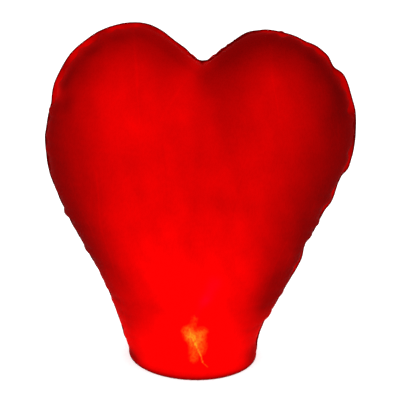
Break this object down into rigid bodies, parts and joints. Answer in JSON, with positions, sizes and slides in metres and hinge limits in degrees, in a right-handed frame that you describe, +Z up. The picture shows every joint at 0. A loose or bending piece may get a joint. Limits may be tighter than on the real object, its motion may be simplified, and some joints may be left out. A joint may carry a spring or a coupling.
{
  "type": "sky lantern",
  "caption": "Heart-shaped paper sky lantern: two glued panels, a bamboo ring in the hem, crossed burner wires and a lift-off waxed fuel cell.",
  "frame": {"origin": "centre of the mouth, on the underside of the hem that the lantern stands on", "axes": "+Z up towards the lobes, X across the heart, -Y towards the front panel"},
  "size_m": [0.8342, 0.4138, 0.9269],
  "materials": {
    "paper": "thin flame-proofed tissue paper, lit from inside",
    "glued_paper": "doubled and glued tissue paper",
    "bamboo": "split bamboo, satin",
    "thread": "waxed cotton thread",
    "steel_wire": "drawn wire, dulled by soot",
    "waxed_card": "wax-soaked card, charred at the edges"
  },
  "bodies": {
    "envelope": {"front_panel": "paper", "back_panel": "paper", "seam_right": "glued_paper", "seam_left": "glued_paper", "hem_front": "glued_paper", "hem_back": "glued_paper", "bamboo_ring": "bamboo", "ring_binding_1": "thread", "ring_binding_2": "thread", "burner_wire_a": "steel_wire", "burner_wire_b": "steel_wire", "fuel_holder_wire": "steel_wire"},
    "fuel_cell": {"fuel_sheet_1": "waxed_card", "fuel_sheet_2": "waxed_card", "fuel_sheet_3": "waxed_card", "fuel_sheet_4": "waxed_card", "fuel_sheet_5": "waxed_card"}
  },
  "joints": [
    {"name": "fuel_cell_lift", "type": "slide", "parent": "envelope", "child": "fuel_cell", "axis": [0, 0, 1], "range_m": [0, 0.08]}
  ]
}
